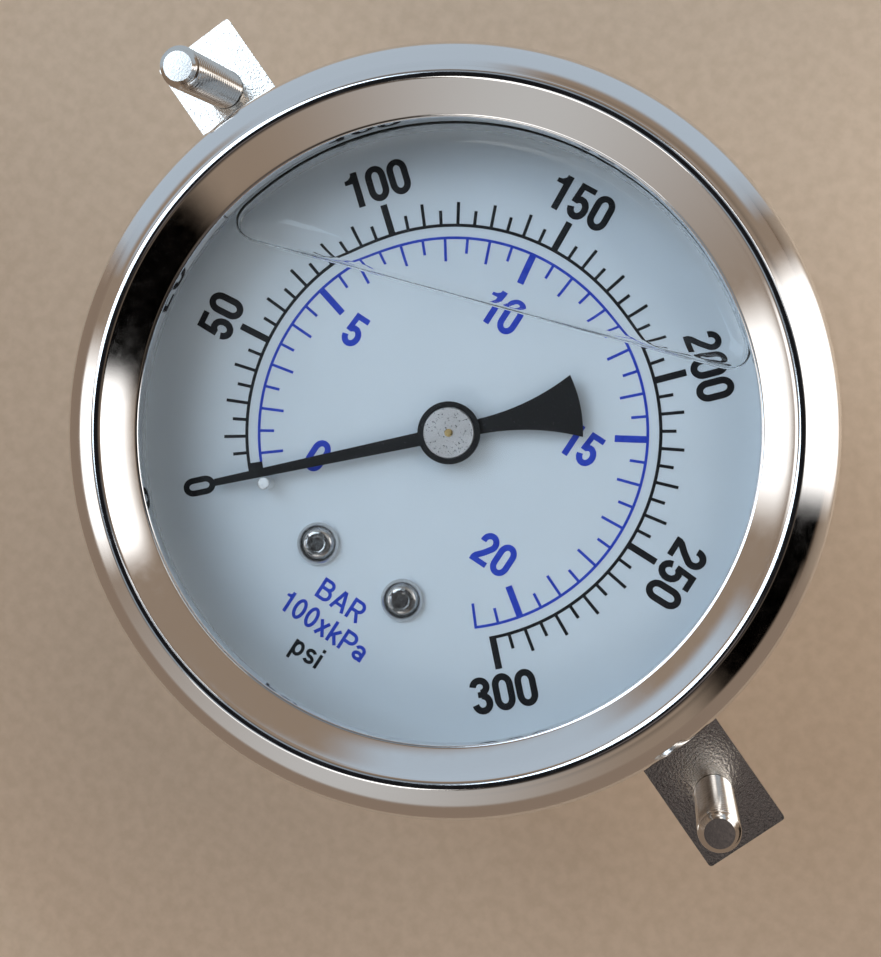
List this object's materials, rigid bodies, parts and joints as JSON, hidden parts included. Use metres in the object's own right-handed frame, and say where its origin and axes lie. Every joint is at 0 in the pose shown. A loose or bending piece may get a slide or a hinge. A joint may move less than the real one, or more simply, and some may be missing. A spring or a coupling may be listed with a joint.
{
  "type": "pressure gauge",
  "caption": "Panel-mounting liquid-filled dial pressure gauge with a centre-back male connection, polished bezel ring and a clamp bracket with two screws.",
  "frame": {"origin": "on the gauge axis, at the free end of the pressure connection", "axes": "+Z along the gauge axis from the connection to the dial, which faces +Z; +Y towards 12 o'clock on the dial; +X towards 3 o'clock"},
  "size_m": [0.0954, 0.0698, 0.0563],
  "materials": {
    "case_steel": "satin drawn stainless steel",
    "bezel_steel": "mirror-polished stainless steel",
    "window_clear": "clear flat window",
    "liquid_clear": "clear liquid",
    "black_rubber": "matt black",
    "dial_white": "satin white paint",
    "pointer_black": "matt black paint",
    "hub_aluminium": "turned",
    "screw_steel": "bright machined",
    "pin_nickel": "bright nickel",
    "nickel_plate": "bright nickel plating",
    "brass": "machined",
    "spring_bronze": "drawn bronze"
  },
  "bodies": {
    "gauge": {"case": "case_steel", "bezel": "bezel_steel", "window": "window_clear", "window_gasket": "black_rubber", "dial": "dial_white", "dial_posts": "brass", "dial_screws": "screw_steel", "stop_pin": "pin_nickel", "movement_front_plate": "brass", "movement_back_plate": "brass", "movement_pillars": "brass", "pillar_screws": "screw_steel", "movement_screws": "screw_steel", "hairspring": "spring_bronze", "hairspring_stud": "brass", "socket": "brass", "socket_seal": "black_rubber", "restrictor": "brass", "case_screws": "screw_steel", "fill_plug": "black_rubber", "clamp_bracket": "nickel_plate", "bracket_studs": "case_steel", "bracket_washers": "nickel_plate", "bracket_nuts": "nickel_plate", "glycerin_fill": "liquid_clear"},
    "pointer_body": {"pointer": "pointer_black", "pointer_hub": "hub_aluminium", "pinion_shaft": "brass", "hairspring_collet": "brass"},
    "sector_body": {"sector_gear": "brass", "sector_shaft": "screw_steel", "tail_screw": "screw_steel"},
    "tube_body": {"bourdon_tube": "spring_bronze", "tube_tip": "brass", "tip_screw": "screw_steel"},
    "link_body": {"link": "brass"},
    "clamp_a": {"clamp_screw_a": "nickel_plate"},
    "clamp_b": {"clamp_screw_b": "nickel_plate"}
  },
  "joints": [
    {"name": "sector_swing", "type": "hinge", "parent": "gauge", "child": "sector_body", "pos_m": [0, -0.015, 0.0382], "axis": [0, 0, 1], "range_deg": [0, 30], "stiffness_Nm_per_rad": 0.0002},
    {"name": "pointer_turn", "type": "hinge", "parent": "gauge", "child": "pointer_body", "pos_m": [0, 0, 0.0463], "axis": [0, 0, 1], "range_deg": [-270, 0]},
    {"name": "tube_flex", "type": "hinge", "parent": "gauge", "child": "tube_body", "pos_m": [0, 0.0205, 0.032], "axis": [0, 0, 1], "range_deg": [0, 3.5]},
    {"name": "link_swing", "type": "hinge", "parent": "tube_body", "child": "link_body", "pos_m": [-0.01719, -0.01117, 0.03705], "axis": [0, 0, 1], "range_deg": [-4.2, 0]},
    {"name": "clamp_a_travel", "type": "slide", "parent": "gauge", "child": "clamp_a", "axis": [0.0407, -0.1034, 0.9938], "range_m": [-0.011, 0.006]},
    {"name": "clamp_b_travel", "type": "slide", "parent": "gauge", "child": "clamp_b", "axis": [-0.018, -0.025, 0.9995], "range_m": [-0.011, 0.006]}
  ],
  "couplings": [
    {"joint": "pointer_turn", "follows": "sector_swing", "ratio": -9},
    {"joint": "tube_flex", "follows": "sector_swing", "ratio": 0.11496},
    {"joint": "link_swing", "follows": "sector_swing", "ratio": -0.13329}
  ]
}
